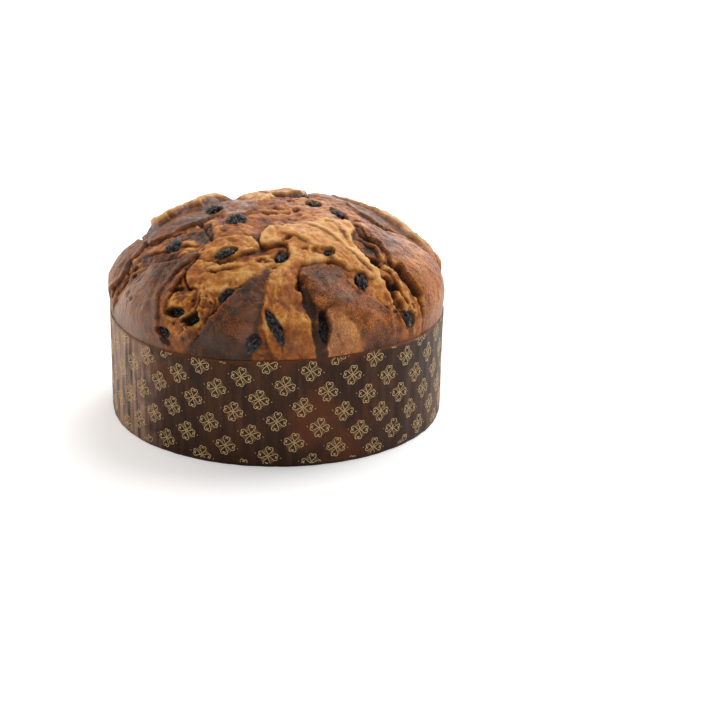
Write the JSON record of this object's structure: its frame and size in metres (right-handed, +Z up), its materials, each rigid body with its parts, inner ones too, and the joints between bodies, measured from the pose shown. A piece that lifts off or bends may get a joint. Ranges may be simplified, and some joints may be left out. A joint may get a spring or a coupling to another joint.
{
  "type": "panettone",
  "caption": "Whole low panettone with a cracked, domed brown crust and dark raisins, in a round brown paper baking case.",
  "frame": {"origin": "middle of the paper case's underside", "axes": "+Z up through the dome, -Y towards the side that the picture shows, +X to that side's right"},
  "size_m": [0.2101, 0.2107, 0.1296],
  "materials": {
    "bread": "baked crust, matt with a faint sheen on the smooth petals",
    "raisin": "wrinkled dried fruit skin, half gloss",
    "paper_case": "glazed brown baking paper printed all over with fine gold outlines"
  },
  "bodies": {
    "root": {"bread": "bread", "paper_case": "paper_case", "raisin_01": "raisin", "raisin_02": "raisin", "raisin_03": "raisin", "raisin_04": "raisin", "raisin_05": "raisin", "raisin_06": "raisin", "raisin_07": "raisin", "raisin_08": "raisin", "raisin_09": "raisin", "raisin_10": "raisin", "raisin_11": "raisin", "raisin_12": "raisin", "raisin_13": "raisin", "raisin_14": "raisin", "raisin_15": "raisin", "raisin_16": "raisin", "raisin_17": "raisin", "raisin_18": "raisin", "raisin_19": "raisin", "raisin_20": "raisin", "raisin_21": "raisin", "raisin_22": "raisin", "raisin_23": "raisin", "raisin_24": "raisin", "raisin_25": "raisin"}
  },
  "joints": []
}
